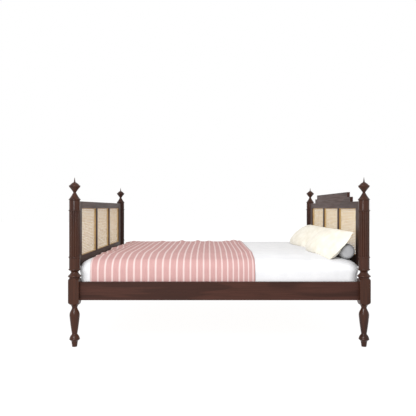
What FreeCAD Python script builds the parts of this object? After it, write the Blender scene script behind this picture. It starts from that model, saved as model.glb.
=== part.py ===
import FreeCAD, Part
import math
import os
import re
import Sketcher

# A cane bed with its bedding, in millimetres. X runs from the foot to the head, Y from the right side to the
# left, Z up, and the origin is on the floor under the middle of the bed.

doc = FreeCAD.newDocument("cane_bed")
sheet = doc.addObject("Spreadsheet::Sheet", "sizes")

sizes = {
    # Mattress
    "mattress_length": 2024,
    "mattress_width": 1829,
    "mattress_height": 195,
    "mattress_edge_radius": 75,
    "mattress_base_radius": 25,
    "mattress_corner_radius": 100,
    "mattress_waist": 4,
    "mattress_slope_share": 0.17,
    "mattress_slope_margin": 220,
    "mattress_end_gap": 8,
    "mattress_sink": 40,
    "seat_gap": 0.3,
    # Throw
    "throw_length": 1189,
    "throw_foot_inset": 82,
    "throw_thickness": 4,
    "throw_gap": 0.5,
    "throw_rail_gap": 1,
    "throw_tuck": 15,
    "throw_ripple": 5,
    "throw_ripple_count": 5,
    # Bolster and pillows
    "bolster_radius": 54,
    "bolster_base_radius": 22,
    "bolster_puff_radius": 49,
    "bolster_puff": 22,
    "bolster_puff_swell": 6,
    "bolster_shoulder": 30,
    "bolster_shoulder_swell": 1.2,
    "bolster_barrel": 1636,
    "bolster_setback": 25,
    "pillow_length": 770,
    "pillow_height": 216,
    "pillow_base": 80,
    "pillow_hem": 6,
    "pillow_lean_angle": 52,
    "pillow_front_swell": 62,
    "pillow_back_swell": 14,
    "pillow_draw": 14,
    "pillow_end_fullness": 0.6,
    "pillow_side_inset": 20,
    "pillow_spacing": 28,
    # Posts
    "toe_base_radius": 17.5,
    "block_side": 76,
    "block_arris": 2.5,
    "block_neck_radius": 37.5,
    "drum_radius": 38.8,
    "shaft_radius": 37.8,
    "ring_height": 10,
    "ring_swell": 4.6,
    "reed_core_radius": 33.5,
    "reed_step": 1.5,
    "reed_radius": 6.8,
    "reed_circle_radius": 31.6,
    "reed_count": 16,
    "finial_base_radius": 36,
    "dowel_radius": 6,
    "dowel_length": 50,
    "dowel_gap": 0.1,
    # Rails, slats and what carries them
    "rail_lift": 31,
    "rail_height": 130,
    "rail_thickness": 28,
    "rail_outset": 4,
    "rail_tenon_length": 12,
    "rail_tenon_thickness": 14,
    "rail_tenon_shoulder": 20,
    "end_rail_tenon_length": 18,
    "slat_count": 13,
    "slat_width": 80,
    "slat_thickness": 18,
    "slat_end_gap": 0.8,
    "ledge_width": 30,
    "ledge_height": 40,
    "ledge_end_gap": 20,
    "beam_width": 60,
    "beam_height": 66,
    "beam_housing": 12,
    # Panel frames and cane
    "frame_thickness": 22,
    "stile_seat_radius": 30,
    "stile_width": 135,
    "muntin_width": 44,
    "top_rail_height": 51.5,
    "bottom_rail_height": 74,
    "panel_margin": 5,
    "crown_step": 38.5,
    "crown_low_width": 1268,
    "crown_high_width": 1100,
    "panel_tenon_length": 30,
    "panel_tenon_thickness": 8,
    "panel_tenon_shoulder": 8,
    "muntin_tenon_length": 12,
    "cane_thickness": 1.6,
    "cane_gap_radius": 9,
    "cane_gaps_across": 16,
    "cane_gaps_up": 12,
    "bead_width": 6,
    "bead_depth": 4,
    # Fasteners
    "bolt_radius": 4,
    "bolt_gap": 0.4,
    "bolt_head_radius": 8,
    "bolt_head_height": 6,
    "bolt_recess_radius": 11,
    "bolt_recess": 14,
    "bolt_reach": 66,
    "nut_radius": 7,
    "nut_length": 20,
    "nut_setback": 52,
    "nut_gap": 0.2,
    "screw_radius": 2,
    "screw_head_radius": 4.5,
    "screw_head_height": 3,
    "screw_recess": 4,
    "screw_length": 38,
    "screw_gap": 0.1,
    "ledge_screw_count": 7,
    "ledge_screw_drop": 28,
}

# Half the diagonal of the square block, so that the lathe leaves its corners.
block_corner = "(block_side * sqrt(0.5) + block_arris)"

# Turned profiles, from the bottom up. Each section has its height, its radius at the top, and how far its
# side swells out of a straight line, or hollows when that is negative.
post_sections = (
    ("toe", 34, 22, 0),
    ("toe_cove", 16, 36, -2.2),
    ("toe_lip", 7, 36, 1.2),
    ("ankle_bell", 27, 22.5, 2.5),
    ("ankle_cove", 8, 19.2, -0.7),
    ("leg_swell", 128, 35.9, 1.2),
    ("leg_shoulder", 29, 30.9, 1.8),
    ("leg_fall", 21, 20.8, -0.6),
    ("leg_neck", 14.5, 20.9, -1.9),
    ("block_cone", 14.5, 30, -1.2),
    ("block_foot", 26, block_corner, 3),
    ("block", 142, block_corner, 0),
    ("block_head", 19, "block_neck_radius", 3),
    ("band", 8, "block_neck_radius", 0),
    ("collar_under", 5, 46, 1),
    ("collar_lip", 6.5, 46, 1),
    ("collar_cove", 25.5, 25.5, -2),
    ("drum_cove", 14, "drum_radius", -1.8),
    ("ring_low", "ring_height", "drum_radius", "ring_swell"),
    ("drum", 78, "drum_radius", 0),
    ("ring_mid", "ring_height", "drum_radius", "ring_swell"),
    ("reed_foot", "reed_step", "reed_core_radius", 0),
    ("reed", 320, "reed_core_radius", 0),
    ("reed_head", "reed_step", "drum_radius", 0),
    ("ring_high", "ring_height", "shaft_radius", "ring_swell"),
    ("shaft", 67, "shaft_radius", 0),
)
finial_sections = (
    ("cap_under", 2.5, 38.5, 0),
    ("cap_lip", 8, 38.5, 3.5),
    ("cap_bell", 46.5, 9.5, -1.6),
    ("knob_under", 38, 38, -1.3),
    ("knob_step", 4.5, 39, 0),
    ("knob_lip", 8.5, 34, 3.5),
    ("knob_dome", 22, 8, 2.2),
    ("spike_foot", 7, 5, -0.7),
    ("spike", 28, 0.8, 0),
)
bolster_sections = (
    ("puff_right", "bolster_puff", "bolster_puff_radius", "bolster_puff_swell"),
    ("shoulder_right", "bolster_shoulder", "bolster_radius", "bolster_shoulder_swell"),
    ("barrel", "bolster_barrel", "bolster_radius", 0),
    ("shoulder_left", "bolster_shoulder", "bolster_puff_radius", "bolster_shoulder_swell"),
    ("puff_left", "bolster_puff", "bolster_base_radius", "bolster_puff_swell"),
)


def name_sections(sections):
    """Gives each number of a turned profile a size of its own; returns the sections as formulas."""
    named_sections = []
    for section in sections:
        formulas = [section[0]]
        for kind, value in zip(("rise", "radius", "swell"), section[1:]):
            if isinstance(value, str) or value == 0:
                formulas.append(value)
            else:
                sizes[f"{section[0]}_{kind}"] = value
                formulas.append(f"{section[0]}_{kind}")
        named_sections.append(formulas)
    return named_sections


def stack(sections):
    """The height of each section's top, as a formula."""
    tops = {}
    rises = []
    for section in sections:
        rises.append(section[1])
        tops[section[0]] = "(" + " + ".join(rises) + ")"
    return tops


post_sections = name_sections(post_sections)
finial_sections = name_sections(finial_sections)
bolster_sections = name_sections(bolster_sections)
post_top = stack(post_sections)

for row, (alias, value) in enumerate(sizes.items(), start=1):
    sheet.set(f"A{row}", alias)
    sheet.set(f"B{row}", str(value))
    sheet.setAlias(f"B{row}", alias)
doc.recompute()


def named(formula):
    """The formula with each size's word pointed at its cell."""
    return re.sub(r"[a-z_]+", lambda word: f"sizes.{word[0]}" if word[0] in sizes else word[0], str(formula))


def bind(item, setting, formula):
    item.setExpression(setting, named(formula))


def measure(formula):
    return float(sheet.evalExpression(named(formula)))


# Places that several pieces share, as formulas.
throw_space = "(throw_gap + throw_thickness + throw_rail_gap)"
inside_half = f"(mattress_width / 2 + {throw_space})"
half_width = f"({inside_half} + rail_thickness - rail_outset)"
half_length = "(mattress_length / 2 + mattress_end_gap + rail_thickness / 2)"
rail_low = f"({post_top['block_cone']} + rail_lift)"
rail_high = f"({rail_low} + rail_height)"
rail_middle = f"({rail_low} + rail_height / 2)"
rail_half = f"({half_length} - block_side / 2)"
rail_line = f"({inside_half} + rail_thickness / 2)"
slat_high = f"({rail_high} - mattress_sink)"
slat_low = f"({slat_high} - slat_thickness)"
mattress_low = f"({slat_high} + seat_gap)"
mattress_high = f"({mattress_low} + mattress_height)"
slope_length = "sqrt(1 + mattress_slope_share^2)"
slope_start = f"(mattress_edge_radius * ({slope_length} - 1 - mattress_slope_share))"
slope_rise = f"({slope_start} + mattress_slope_share * mattress_slope_margin)"
panel_low = f"({post_top['ring_low']} + panel_margin)"
panel_high = f"({post_top['shaft']} - panel_margin)"
opening_low = f"({panel_low} + bottom_rail_height)"
opening_high = f"({panel_high} - top_rail_height)"
opening_half = f"({half_width} - stile_seat_radius - stile_width)"
cane_width = f"((2 * {opening_half} - 2 * muntin_width) / 3)"
cane_height = f"({opening_high} - {opening_low})"
ends = {"foot": -1, "head": 1}
sides = {"right": -1, "left": 1}
turn_to_axis = {
    "x": FreeCAD.Rotation(FreeCAD.Vector(0, 1, 0), 90),
    "y": FreeCAD.Rotation(FreeCAD.Vector(1, 0, 0), -90),
    "z": FreeCAD.Rotation(),
}
pieces = []


def piece(item, label):
    """Takes a finished object into the bed under its own name."""
    item.Label = label
    pieces.append(item)
    return item


def put(item, x, y, z):
    for axis, formula in zip("xyz", (x, y, z)):
        bind(item, f"Placement.Base.{axis}", formula)
    return item


def low_of(sign, inner, outer):
    """Low end of the span from inner to outer, measured from the middle towards the given side."""
    return inner if sign > 0 else f"-({outer})"


def box(name, spans, low):
    item = doc.addObject("Part::Box", name)
    for setting, formula in zip(("Length", "Width", "Height"), spans):
        bind(item, setting, formula)
    return put(item, *low)


def rod(name, radius, length, start, axis):
    item = doc.addObject("Part::Cylinder", name)
    bind(item, "Radius", radius)
    bind(item, "Height", length)
    item.Placement.Rotation = turn_to_axis[axis]
    return put(item, *start)


def join(name, items):
    item = doc.addObject("Part::MultiFuse", name)
    item.Shapes = items
    item.Refine = True
    return item


def group(name, items):
    item = doc.addObject("Part::Compound", name)
    item.Links = items
    return item


def cut(name, base, tool):
    item = doc.addObject("Part::Cut", name)
    item.Base = base
    item.Tool = tool
    item.Refine = True
    return item


def sketch_on(body, name, role, height="0"):
    """A sketch on one of the body's own planes, raised along the plane's normal."""
    sketch = body.newObject("Sketcher::SketchObject", name)
    plane = [item for item in body.Origin.OriginFeatures if item.Role == role][0]
    sketch.AttachmentSupport = (plane, [""])
    sketch.MapMode = "FlatFace"
    bind(sketch, "AttachmentOffset.Base.z", height)
    return sketch


def constrain(sketch, rules):
    """Adds the rules in one go and binds each one that comes with a formula."""
    indexes = sketch.addConstraint([rule for rule, formula in rules])
    for index, (rule, formula) in zip(indexes, rules):
        if formula is not None:
            sketch.setExpression(f"Constraints[{index}]", named(formula))


def turned_body(name, base_radius, sections):
    """A body turned about Z: a flat base, one line or arc for each section, and a flat top."""
    body = doc.addObject("PartDesign::Body", name)
    sketch = sketch_on(body, f"{name}_profile", "XZ_Plane")
    corner = FreeCAD.Vector(measure(base_radius), 0, 0)
    radius_below = base_radius
    line = sketch.addGeometry(Part.LineSegment(FreeCAD.Vector(), corner))
    last = (line, 2)
    rules = [
        (Sketcher.Constraint("Coincident", line, 1, -1, 1), None),
        (Sketcher.Constraint("Horizontal", line), None),
        (Sketcher.Constraint("DistanceX", -1, 1, line, 2, corner.x), base_radius),
    ]
    for label, rise, radius, swell in sections:
        start = corner
        corner = FreeCAD.Vector(measure(radius), start.y + measure(rise), 0)
        chord = corner - start
        if swell == 0:
            line = sketch.addGeometry(Part.LineSegment(start, corner))
        else:
            outwards = FreeCAD.Vector(chord.y, -chord.x, 0).normalize()
            middle = (start + corner) * 0.5 + outwards * measure(swell)
            line = sketch.addGeometry(Part.Arc(start, middle, corner))
            chord_squared = f"(({radius} - {radius_below})^2 + ({rise})^2)"
            arc_radius = f"({chord_squared} / 4 + ({swell})^2) / (2 * abs({swell}))"
            rules.append((Sketcher.Constraint("Radius", line, measure(arc_radius)), arc_radius))
        first, second = sketch.getPoint(line, 1), sketch.getPoint(line, 2)
        runs_up = first.distanceToPoint(start) < second.distanceToPoint(start)
        below, above = (1, 2) if runs_up else (2, 1)
        rules += [
            (Sketcher.Constraint("Coincident", last[0], last[1], line, below), None),
            (Sketcher.Constraint("DistanceX", -1, 1, line, above, corner.x), radius),
            (Sketcher.Constraint("DistanceY", line, below, line, above, chord.y), rise),
        ]
        last = (line, above)
        radius_below = radius
    centre = FreeCAD.Vector(0, corner.y, 0)
    lid = sketch.addGeometry(Part.LineSegment(corner, centre))
    axis = sketch.addGeometry(Part.LineSegment(centre, FreeCAD.Vector()))
    rules += [
        (Sketcher.Constraint("Coincident", last[0], last[1], lid, 1), None),
        (Sketcher.Constraint("Horizontal", lid), None),
        (Sketcher.Constraint("Coincident", lid, 2, axis, 1), None),
        (Sketcher.Constraint("Coincident", axis, 2, -1, 1), None),
        (Sketcher.Constraint("Vertical", axis), None),
    ]
    constrain(sketch, rules)
    turning = body.newObject("PartDesign::Revolution", f"{name}_turning")
    turning.Profile = sketch
    turning.ReferenceAxis = (sketch, ["V_Axis"])
    turning.Angle = 360
    return body


def outline(sketch, corners):
    """A closed outline of straight lines whose corners are bound to formulas."""
    points = [FreeCAD.Vector(measure(x), measure(y), 0) for x, y in corners]
    lines = []
    for start, end in zip(points, points[1:] + points[:1]):
        lines.append(sketch.addGeometry(Part.LineSegment(start, end)))
    rules = []
    for index, line in enumerate(lines):
        rules.append((Sketcher.Constraint("Coincident", lines[index - 1], 2, line, 1), None))
        for kind, value, formula in zip(("DistanceX", "DistanceY"), points[index], corners[index]):
            rules.append((Sketcher.Constraint(kind, -1, 1, line, 1, value), formula))
    constrain(sketch, rules)


def square_block(body):
    """Squares the turned stock between the block's two shoulders, with a small chamfer on each arris."""
    sketch = sketch_on(body, "block_waste", "XY_Plane", post_top["band"])
    far = f"({block_corner} + block_side)"
    flat = "(block_side / 2)"
    short = "(block_side / 2 - block_arris)"
    outline(sketch, [(far, far), (f"-{far}", far), (f"-{far}", f"-{far}"), (far, f"-{far}")])
    outline(sketch, [
        (flat, short), (short, flat), (f"-{short}", flat), (f"-{flat}", short),
        (f"-{flat}", f"-{short}"), (f"-{short}", f"-{flat}"), (short, f"-{flat}"), (flat, f"-{short}"),
    ])
    waste = body.newObject("PartDesign::Pocket", "block_squaring")
    waste.Profile = sketch
    bind(waste, "Length", f"{post_top['band']} - {post_top['leg_neck']}")


def reeds(body):
    """Half-round reeds in a ring round the core of the shaft."""
    sketch = sketch_on(body, "reed_section", "XY_Plane", post_top["ring_mid"])
    place = FreeCAD.Vector(measure("reed_circle_radius"), 0, 0)
    circle = sketch.addGeometry(Part.Circle(place, FreeCAD.Vector(0, 0, 1), measure("reed_radius")))
    constrain(sketch, [
        (Sketcher.Constraint("Radius", circle, measure("reed_radius")), "reed_radius"),
        (Sketcher.Constraint("DistanceX", -1, 1, circle, 3, place.x), "reed_circle_radius"),
        (Sketcher.Constraint("PointOnObject", circle, 3, -1), None),
    ])
    reed = body.newObject("PartDesign::Pad", "reed")
    reed.Profile = sketch
    bind(reed, "Length", f"{post_top['reed_head']} - {post_top['ring_mid']}")
    ring = body.newObject("PartDesign::PolarPattern", "reed_ring")
    ring.Originals = [reed]
    ring.Axis = (sketch, ["N_Axis"])
    ring.Angle = 360
    bind(ring, "Occurrences", "reed_count")
    body.Tip = ring


# Posts and finials: one turning each, set at the four corners and cut for what is let into it.
post_turning = turned_body("post_turning", "toe_base_radius", post_sections)
square_block(post_turning)
reeds(post_turning)
finial_turning = turned_body("finial_turning", "finial_base_radius", finial_sections)
finial_hole = rod("finial_hole", "dowel_radius + dowel_gap", "dowel_length / 2", ("0", "0", "0"), "z")
finial_bored = cut("finial_bored", finial_turning, finial_hole)

bolts = []
nuts = []
dowels = []
bolt_voids = {}
nut_voids = {}
tenon_height = "(rail_height - 2 * rail_tenon_shoulder)"
tenon_low = f"({rail_low} + rail_tenon_shoulder)"
bolt_seat = f"({half_length} + block_side / 2 - bolt_recess)"
bolt_tip = f"({rail_half} - bolt_reach)"

# Tenon strips: each runs the whole rail and stands out of both of its ends.
side_strips = {}
for side, across in sides.items():
    line_low = f"{rail_line} - rail_tenon_thickness / 2"
    line_high = f"{rail_line} + rail_tenon_thickness / 2"
    side_strips[side] = box(
        f"side_rail_tenons_{side}",
        (f"2 * ({rail_half} + rail_tenon_length)", "rail_tenon_thickness", tenon_height),
        (f"-({rail_half} + rail_tenon_length)", low_of(across, line_low, line_high), tenon_low),
    )
end_strips = {}
end_reach = f"({half_width} - block_side / 2 + end_rail_tenon_length)"
for end, along in ends.items():
    end_strips[end] = box(
        f"end_rail_tenons_{end}",
        ("rail_tenon_thickness", f"2 * {end_reach}", tenon_height),
        (f"{along} * {half_length} - rail_tenon_thickness / 2", f"-{end_reach}", tenon_low),
    )

for end, along in ends.items():
    for side, across in sides.items():
        corner = f"{end}_{side}"
        corner_x = f"{along} * {half_length}"
        corner_y = f"{across} * {half_width}"
        bolt_y = f"{across} * {rail_line}"
        stock = put(group(f"post_stock_{corner}", [post_turning]), corner_x, corner_y, "0")
        groove_outer = f"{half_width} - stile_seat_radius"
        groove_inner = f"{half_width} - block_side"
        groove = box(
            f"post_groove_{corner}",
            ("frame_thickness", "block_side - stile_seat_radius", f"{panel_high} - {panel_low}"),
            (f"{corner_x} - frame_thickness / 2", low_of(across, groove_inner, groove_outer), panel_low),
        )
        shank_low = low_of(along, bolt_tip, f"{half_length} + block_side / 2")
        bolt_voids[corner] = rod(
            f"bolt_hole_{corner}", "bolt_radius + bolt_gap", f"{half_length} + block_side / 2 - {bolt_tip}",
            (shank_low, bolt_y, rail_middle), "x",
        )
        recess_low = low_of(along, bolt_seat, f"{bolt_seat} + bolt_recess")
        recess = rod(
            f"bolt_recess_{corner}", "bolt_recess_radius", "bolt_recess",
            (recess_low, bolt_y, rail_middle), "x",
        )
        dowel_void = rod(
            f"dowel_hole_{corner}", "dowel_radius + dowel_gap", "dowel_length / 2",
            (corner_x, corner_y, f"{post_top['shaft']} - dowel_length / 2"), "z",
        )
        voids = join(
            f"post_voids_{corner}",
            [groove, side_strips[side], end_strips[end], bolt_voids[corner], recess, dowel_void],
        )
        piece(cut(f"post_{corner}", stock, voids), f"{end}_post_{side}")
        finial = put(group(f"finial_{corner}", [finial_bored]), corner_x, corner_y, post_top["shaft"])
        piece(finial, f"{end}_finial_{side}")
        dowels.append(rod(
            f"dowel_{corner}", "dowel_radius", "dowel_length",
            (corner_x, corner_y, f"{post_top['shaft']} - dowel_length / 2"), "z",
        ))
        shank = rod(
            f"bolt_shank_{corner}", "bolt_radius", f"{bolt_seat} - {bolt_tip}",
            (low_of(along, bolt_tip, bolt_seat), bolt_y, rail_middle), "x",
        )
        head_low = low_of(along, bolt_seat, f"{bolt_seat} + bolt_head_height")
        head = rod(
            f"bolt_head_{corner}", "bolt_head_radius", "bolt_head_height",
            (head_low, bolt_y, rail_middle), "x",
        )
        bolts.append(join(f"bolt_{corner}", [shank, head]))
        nut_x = f"{along} * ({rail_half} - nut_setback)"
        nut_y = low_of(across, inside_half, f"{inside_half} + nut_length")
        nut_blank = rod(f"nut_blank_{corner}", "nut_radius", "nut_length", (nut_x, nut_y, rail_middle), "y")
        nuts.append(cut(f"nut_{corner}", nut_blank, bolt_voids[corner]))
        nut_voids[corner] = rod(
            f"nut_hole_{corner}", "nut_radius + nut_gap", "nut_length", (nut_x, nut_y, rail_middle), "y",
        )
piece(group("dowels", dowels), "finial_dowels")
piece(group("bolts", bolts), "bed_bolts")
piece(group("nuts", nuts), "barrel_nuts")


def screw_pair(name, axis, voids_only):
    """A screw on each side of the bed, or the holes for them: down through a slat, or out through a ledge."""
    gap = " + screw_gap" if voids_only else ""
    head_height = "screw_recess" if voids_only else "screw_head_height"
    shank_length = "(screw_length + screw_recess / 2)"
    pair = []
    for side, across in sides.items():
        if axis == "z":
            line = f"{across} * ({inside_half} - ledge_width / 2)"
            seat = f"({slat_high} - screw_recess)"
            head_at = ("0", line, seat)
            shank_at = ("0", line, f"{seat} - screw_length")
        else:
            level = f"{slat_low} - ledge_screw_drop"
            seat = f"({inside_half} - ledge_width + screw_recess)"
            head_at = ("0", low_of(across, f"{seat} - {head_height}", seat), level)
            shank_low = low_of(across, f"{seat} - screw_recess / 2", f"{seat} + screw_length")
            shank_at = ("0", shank_low, level)
        pair.append(join(f"{name}_{side}", [
            rod(f"{name}_shank_{side}", f"screw_radius{gap}", shank_length, shank_at, axis),
            rod(f"{name}_head_{side}", f"screw_head_radius{gap}", head_height, head_at, axis),
        ]))
    return group(f"{name}_pair", pair)


def row_place(index, count, spacing):
    """How far along the bed one of a centred row lies, as a formula."""
    return f"({index} + 0.5 - {count} / 2) * {spacing}"


def row_along(name, pair, count, spacing):
    """Copies of a pair along the bed."""
    row = []
    for index in range(int(measure(count))):
        copy = group(f"{name}_{index + 1}", [pair])
        row.append(put(copy, row_place(index, count, spacing), "0", "0"))
    return group(name, row)


# Ledges, slats and the centre beam.
slat_pitch = "(mattress_length / slat_count)"
ledge_half = f"({rail_half} - ledge_end_gap)"
ledge_screw_pitch = f"(2 * {ledge_half} / ledge_screw_count)"
slat_hole_pair = screw_pair("slat_hole", "z", True)
slat_holes = row_along("slat_holes", slat_hole_pair, "slat_count", slat_pitch)
slat_screws = row_along("slat_screws", screw_pair("slat_screw", "z", False), "slat_count", slat_pitch)
ledge_hole_pair = screw_pair("ledge_hole", "y", True)
ledge_holes = row_along("ledge_holes", ledge_hole_pair, "ledge_screw_count", ledge_screw_pitch)
ledge_screw_master = screw_pair("ledge_screw", "y", False)
ledge_screws = row_along("ledge_screws", ledge_screw_master, "ledge_screw_count", ledge_screw_pitch)
slat_reach = f"({inside_half} - slat_end_gap)"
slat_blank = box(
    "slat_blank", ("slat_width", f"2 * {slat_reach}", "slat_thickness"),
    ("-slat_width / 2", f"-{slat_reach}", slat_low),
)
slat_bored = cut("slat_bored", slat_blank, slat_hole_pair)
for index in range(int(measure("slat_count"))):
    slat = group(f"slat_{index + 1}", [slat_bored])
    put(slat, row_place(index, "slat_count", slat_pitch), "0", "0")
    piece(slat, f"slat_{index + 1:02d}")
beam_half = f"({half_length} - rail_thickness / 2 + beam_housing)"
beam = piece(box(
    "beam", (f"2 * {beam_half}", "beam_width", "beam_height"),
    (f"-{beam_half}", "-beam_width / 2", f"{slat_low} - beam_height"),
), "centre_beam")
for side, across in sides.items():
    ledge_y = low_of(across, f"{inside_half} - ledge_width", inside_half)
    ledge = box(
        f"ledge_blank_{side}", (f"2 * {ledge_half}", "ledge_width", "ledge_height"),
        (f"-{ledge_half}", ledge_y, f"{slat_low} - ledge_height"),
    )
    holes = group(f"ledge_voids_{side}", [slat_holes, ledge_holes])
    piece(cut(f"ledge_{side}", ledge, holes), f"slat_ledge_{side}")
piece(slat_screws, "slat_screws")
piece(ledge_screws, "ledge_screws")

# Side rails and end rails, with the tenons that go into the blocks.
for side, across in sides.items():
    blank = box(
        f"side_rail_blank_{side}", (f"2 * {rail_half}", "rail_thickness", "rail_height"),
        (f"-{rail_half}", low_of(across, inside_half, f"{inside_half} + rail_thickness"), rail_low),
    )
    tenoned = join(f"side_rail_tenoned_{side}", [blank, side_strips[side]])
    bores = [bolt_voids[f"{end}_{side}"] for end in ends] + [nut_voids[f"{end}_{side}"] for end in ends]
    voids = join(f"side_rail_voids_{side}", bores + [ledge_holes])
    piece(cut(f"side_rail_{side}", tenoned, voids), f"side_rail_{side}")
end_half = f"({half_width} - block_side / 2)"
for end, along in ends.items():
    blank = box(
        f"end_rail_blank_{end}", ("rail_thickness", f"2 * {end_half}", "rail_height"),
        (f"{along} * {half_length} - rail_thickness / 2", f"-{end_half}", rail_low),
    )
    tenoned = join(f"end_rail_tenoned_{end}", [blank, end_strips[end]])
    piece(cut(f"end_rail_{end}", tenoned, beam), f"{end}_end_rail")


def panel_slab(name, end, low, high, width, left="0"):
    """A board of a panel frame, from low to high and centred on left, the full thickness of the frame."""
    return box(
        name, ("frame_thickness", width, f"{high} - {low}"),
        (f"{ends[end]} * {half_length} - frame_thickness / 2", f"{left} - ({width}) / 2", low),
    )


def panel_strip(name, end, low, high, width, left="0"):
    """The thin strip that stands out of a board's ends as its tenons."""
    return box(
        name, ("panel_tenon_thickness", width, f"{high} - ({low})"),
        (f"{ends[end]} * {half_length} - panel_tenon_thickness / 2", f"{left} - ({width}) / 2", low),
    )


def panel_rail(end, label, low, high, muntin_strips, tiers):
    """A rail between the stiles, with its tenons, any tiers on its top, and the muntins' mortises."""
    rail = panel_slab(f"{end}_{label}_board", end, low, high, f"2 * {opening_half}")
    strip = panel_strip(
        f"{end}_{label}_tenons", end, f"{low} + panel_tenon_shoulder", f"{high} - panel_tenon_shoulder",
        f"2 * ({opening_half} + panel_tenon_length)",
    )
    solid = join(f"{end}_{label}_solid", [rail, strip] + tiers)
    mortises = group(f"{end}_{label}_mortises", muntin_strips)
    piece(cut(f"{end}_{label}", solid, mortises), f"{end}_{label}")
    return strip


def cane_sheet(name, end, left):
    """One flat holed face of cane, thickened both ways from the middle of the frame."""
    across, up = measure(cane_width), measure(cane_height)
    columns, rows = int(measure("cane_gaps_across")), int(measure("cane_gaps_up"))
    radius, thickness = measure("cane_gap_radius"), measure("cane_thickness")
    face_x = measure(f"{ends[end]} * {half_length} - cane_thickness / 2")
    low_y = measure(f"{left} - {cane_width} / 2")
    low_z = measure(opening_low)
    facing = FreeCAD.Vector(1, 0, 0)
    corners = [(0, 0), (across, 0), (across, up), (0, up), (0, 0)]
    wires = [Part.makePolygon([FreeCAD.Vector(face_x, low_y + y, low_z + z) for y, z in corners])]
    for column in range(columns):
        for row in range(rows):
            centre = FreeCAD.Vector(
                face_x, low_y + (column + 0.5) * across / columns, low_z + (row + 0.5) * up / rows,
            )
            hole = Part.Wire(Part.Circle(centre, facing, radius).toShape())
            hole.reverse()
            wires.append(hole)
    sheet_of_cane = doc.addObject("Part::Feature", name)
    sheet_of_cane.Shape = Part.Face(wires).extrude(facing * thickness)
    return sheet_of_cane


def bead_ring(name, end, left, face):
    """The bead round one opening, on the cane's foot side (face -1) or its head side (face 1)."""
    near = "cane_thickness / 2"
    far = "cane_thickness / 2 + bead_depth"
    low_x = f"{ends[end]} * {half_length} + " + (near if face > 0 else f"-({far})")
    outer = box(
        f"{name}_outer", ("bead_depth", cane_width, cane_height),
        (low_x, f"{left} - {cane_width} / 2", opening_low),
    )
    inner = box(
        f"{name}_inner", ("bead_depth", f"{cane_width} - 2 * bead_width", f"{cane_height} - 2 * bead_width"),
        (low_x, f"{left} - {cane_width} / 2 + bead_width", f"{opening_low} + bead_width"),
    )
    return cut(name, outer, inner)


# The two panel frames: stiles in the posts' grooves, rails between them, muntins, cane and its beads.
cane_pitch = f"({cane_width} + muntin_width)"
cane_places = {"right": f"(-{cane_pitch})", "middle": "0", "left": cane_pitch}
crown_tiers = {"low": ("crown_low_width", "crown_step"), "high": ("crown_high_width", "2 * crown_step")}
for end in ends:
    muntin_strips = []
    for side, across in sides.items():
        muntin = f"{end}_muntin_{side}"
        middle = f"({across} * {cane_pitch} / 2)"
        strip = panel_strip(
            f"{muntin}_tenons", end, f"{opening_low} - muntin_tenon_length",
            f"{opening_high} + muntin_tenon_length", "muntin_width - 2 * panel_tenon_shoulder", middle,
        )
        board = panel_slab(f"{muntin}_board", end, opening_low, opening_high, "muntin_width", middle)
        piece(join(muntin, [board, strip]), muntin)
        muntin_strips.append(strip)
    tiers = []
    if end == "head":
        for label, (width, height) in crown_tiers.items():
            tiers.append(panel_slab(f"crown_{label}", end, opening_high, f"({panel_high} + {height})", width))
    top_label = "crown_rail" if end == "head" else "top_rail"
    rail_strips = [
        panel_rail(end, top_label, opening_high, panel_high, muntin_strips, tiers),
        panel_rail(end, "bottom_rail", panel_low, opening_low, muntin_strips, []),
    ]
    stile_mortises = group(f"{end}_stile_mortises", rail_strips)
    for side, across in sides.items():
        middle = f"({across} * ({opening_half} + stile_width / 2))"
        board = panel_slab(f"{end}_stile_board_{side}", end, panel_low, panel_high, "stile_width", middle)
        piece(cut(f"{end}_stile_{side}", board, stile_mortises), f"{end}_stile_{side}")
    beads = []
    for place, left in cane_places.items():
        piece(cane_sheet(f"{end}_cane_{place}", end, left), f"{end}_cane_{place}")
        for face in (-1, 1):
            beads.append(bead_ring(f"{end}_bead_{place}_{'front' if face < 0 else 'back'}", end, left, face))
    piece(group(f"{end}_beads", beads), f"{end}_cane_beads")


def soft_solid(label, sections):
    """A closed solid through its sections."""
    item = doc.addObject("Part::Feature", label)
    item.Shape = Part.makeLoft(sections, True, True)
    return piece(item, label)


def rounded_rectangle(half_x, half_y, radius, z):
    """Four lines and four quarter arcs, level at z."""
    edges = []
    turn = math.sqrt(0.5) * radius
    for quarter in range(4):
        spin = FreeCAD.Rotation(FreeCAD.Vector(0, 0, 1), 90 * quarter)
        reach_x, reach_y = (half_x, half_y) if quarter % 2 == 0 else (half_y, half_x)
        centre = FreeCAD.Vector(reach_x - radius, reach_y - radius, z)
        start = centre + FreeCAD.Vector(radius, 0, 0)
        middle = centre + FreeCAD.Vector(turn, turn, 0)
        finish = centre + FreeCAD.Vector(0, radius, 0)
        next_start = FreeCAD.Vector(-reach_x + radius, reach_y, z)
        edges.append(Part.Arc(*[spin.multVec(point) for point in (start, middle, finish)]).toShape())
        edges.append(Part.LineSegment(spin.multVec(finish), spin.multVec(next_start)).toShape())
    return Part.Wire(edges)


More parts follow.
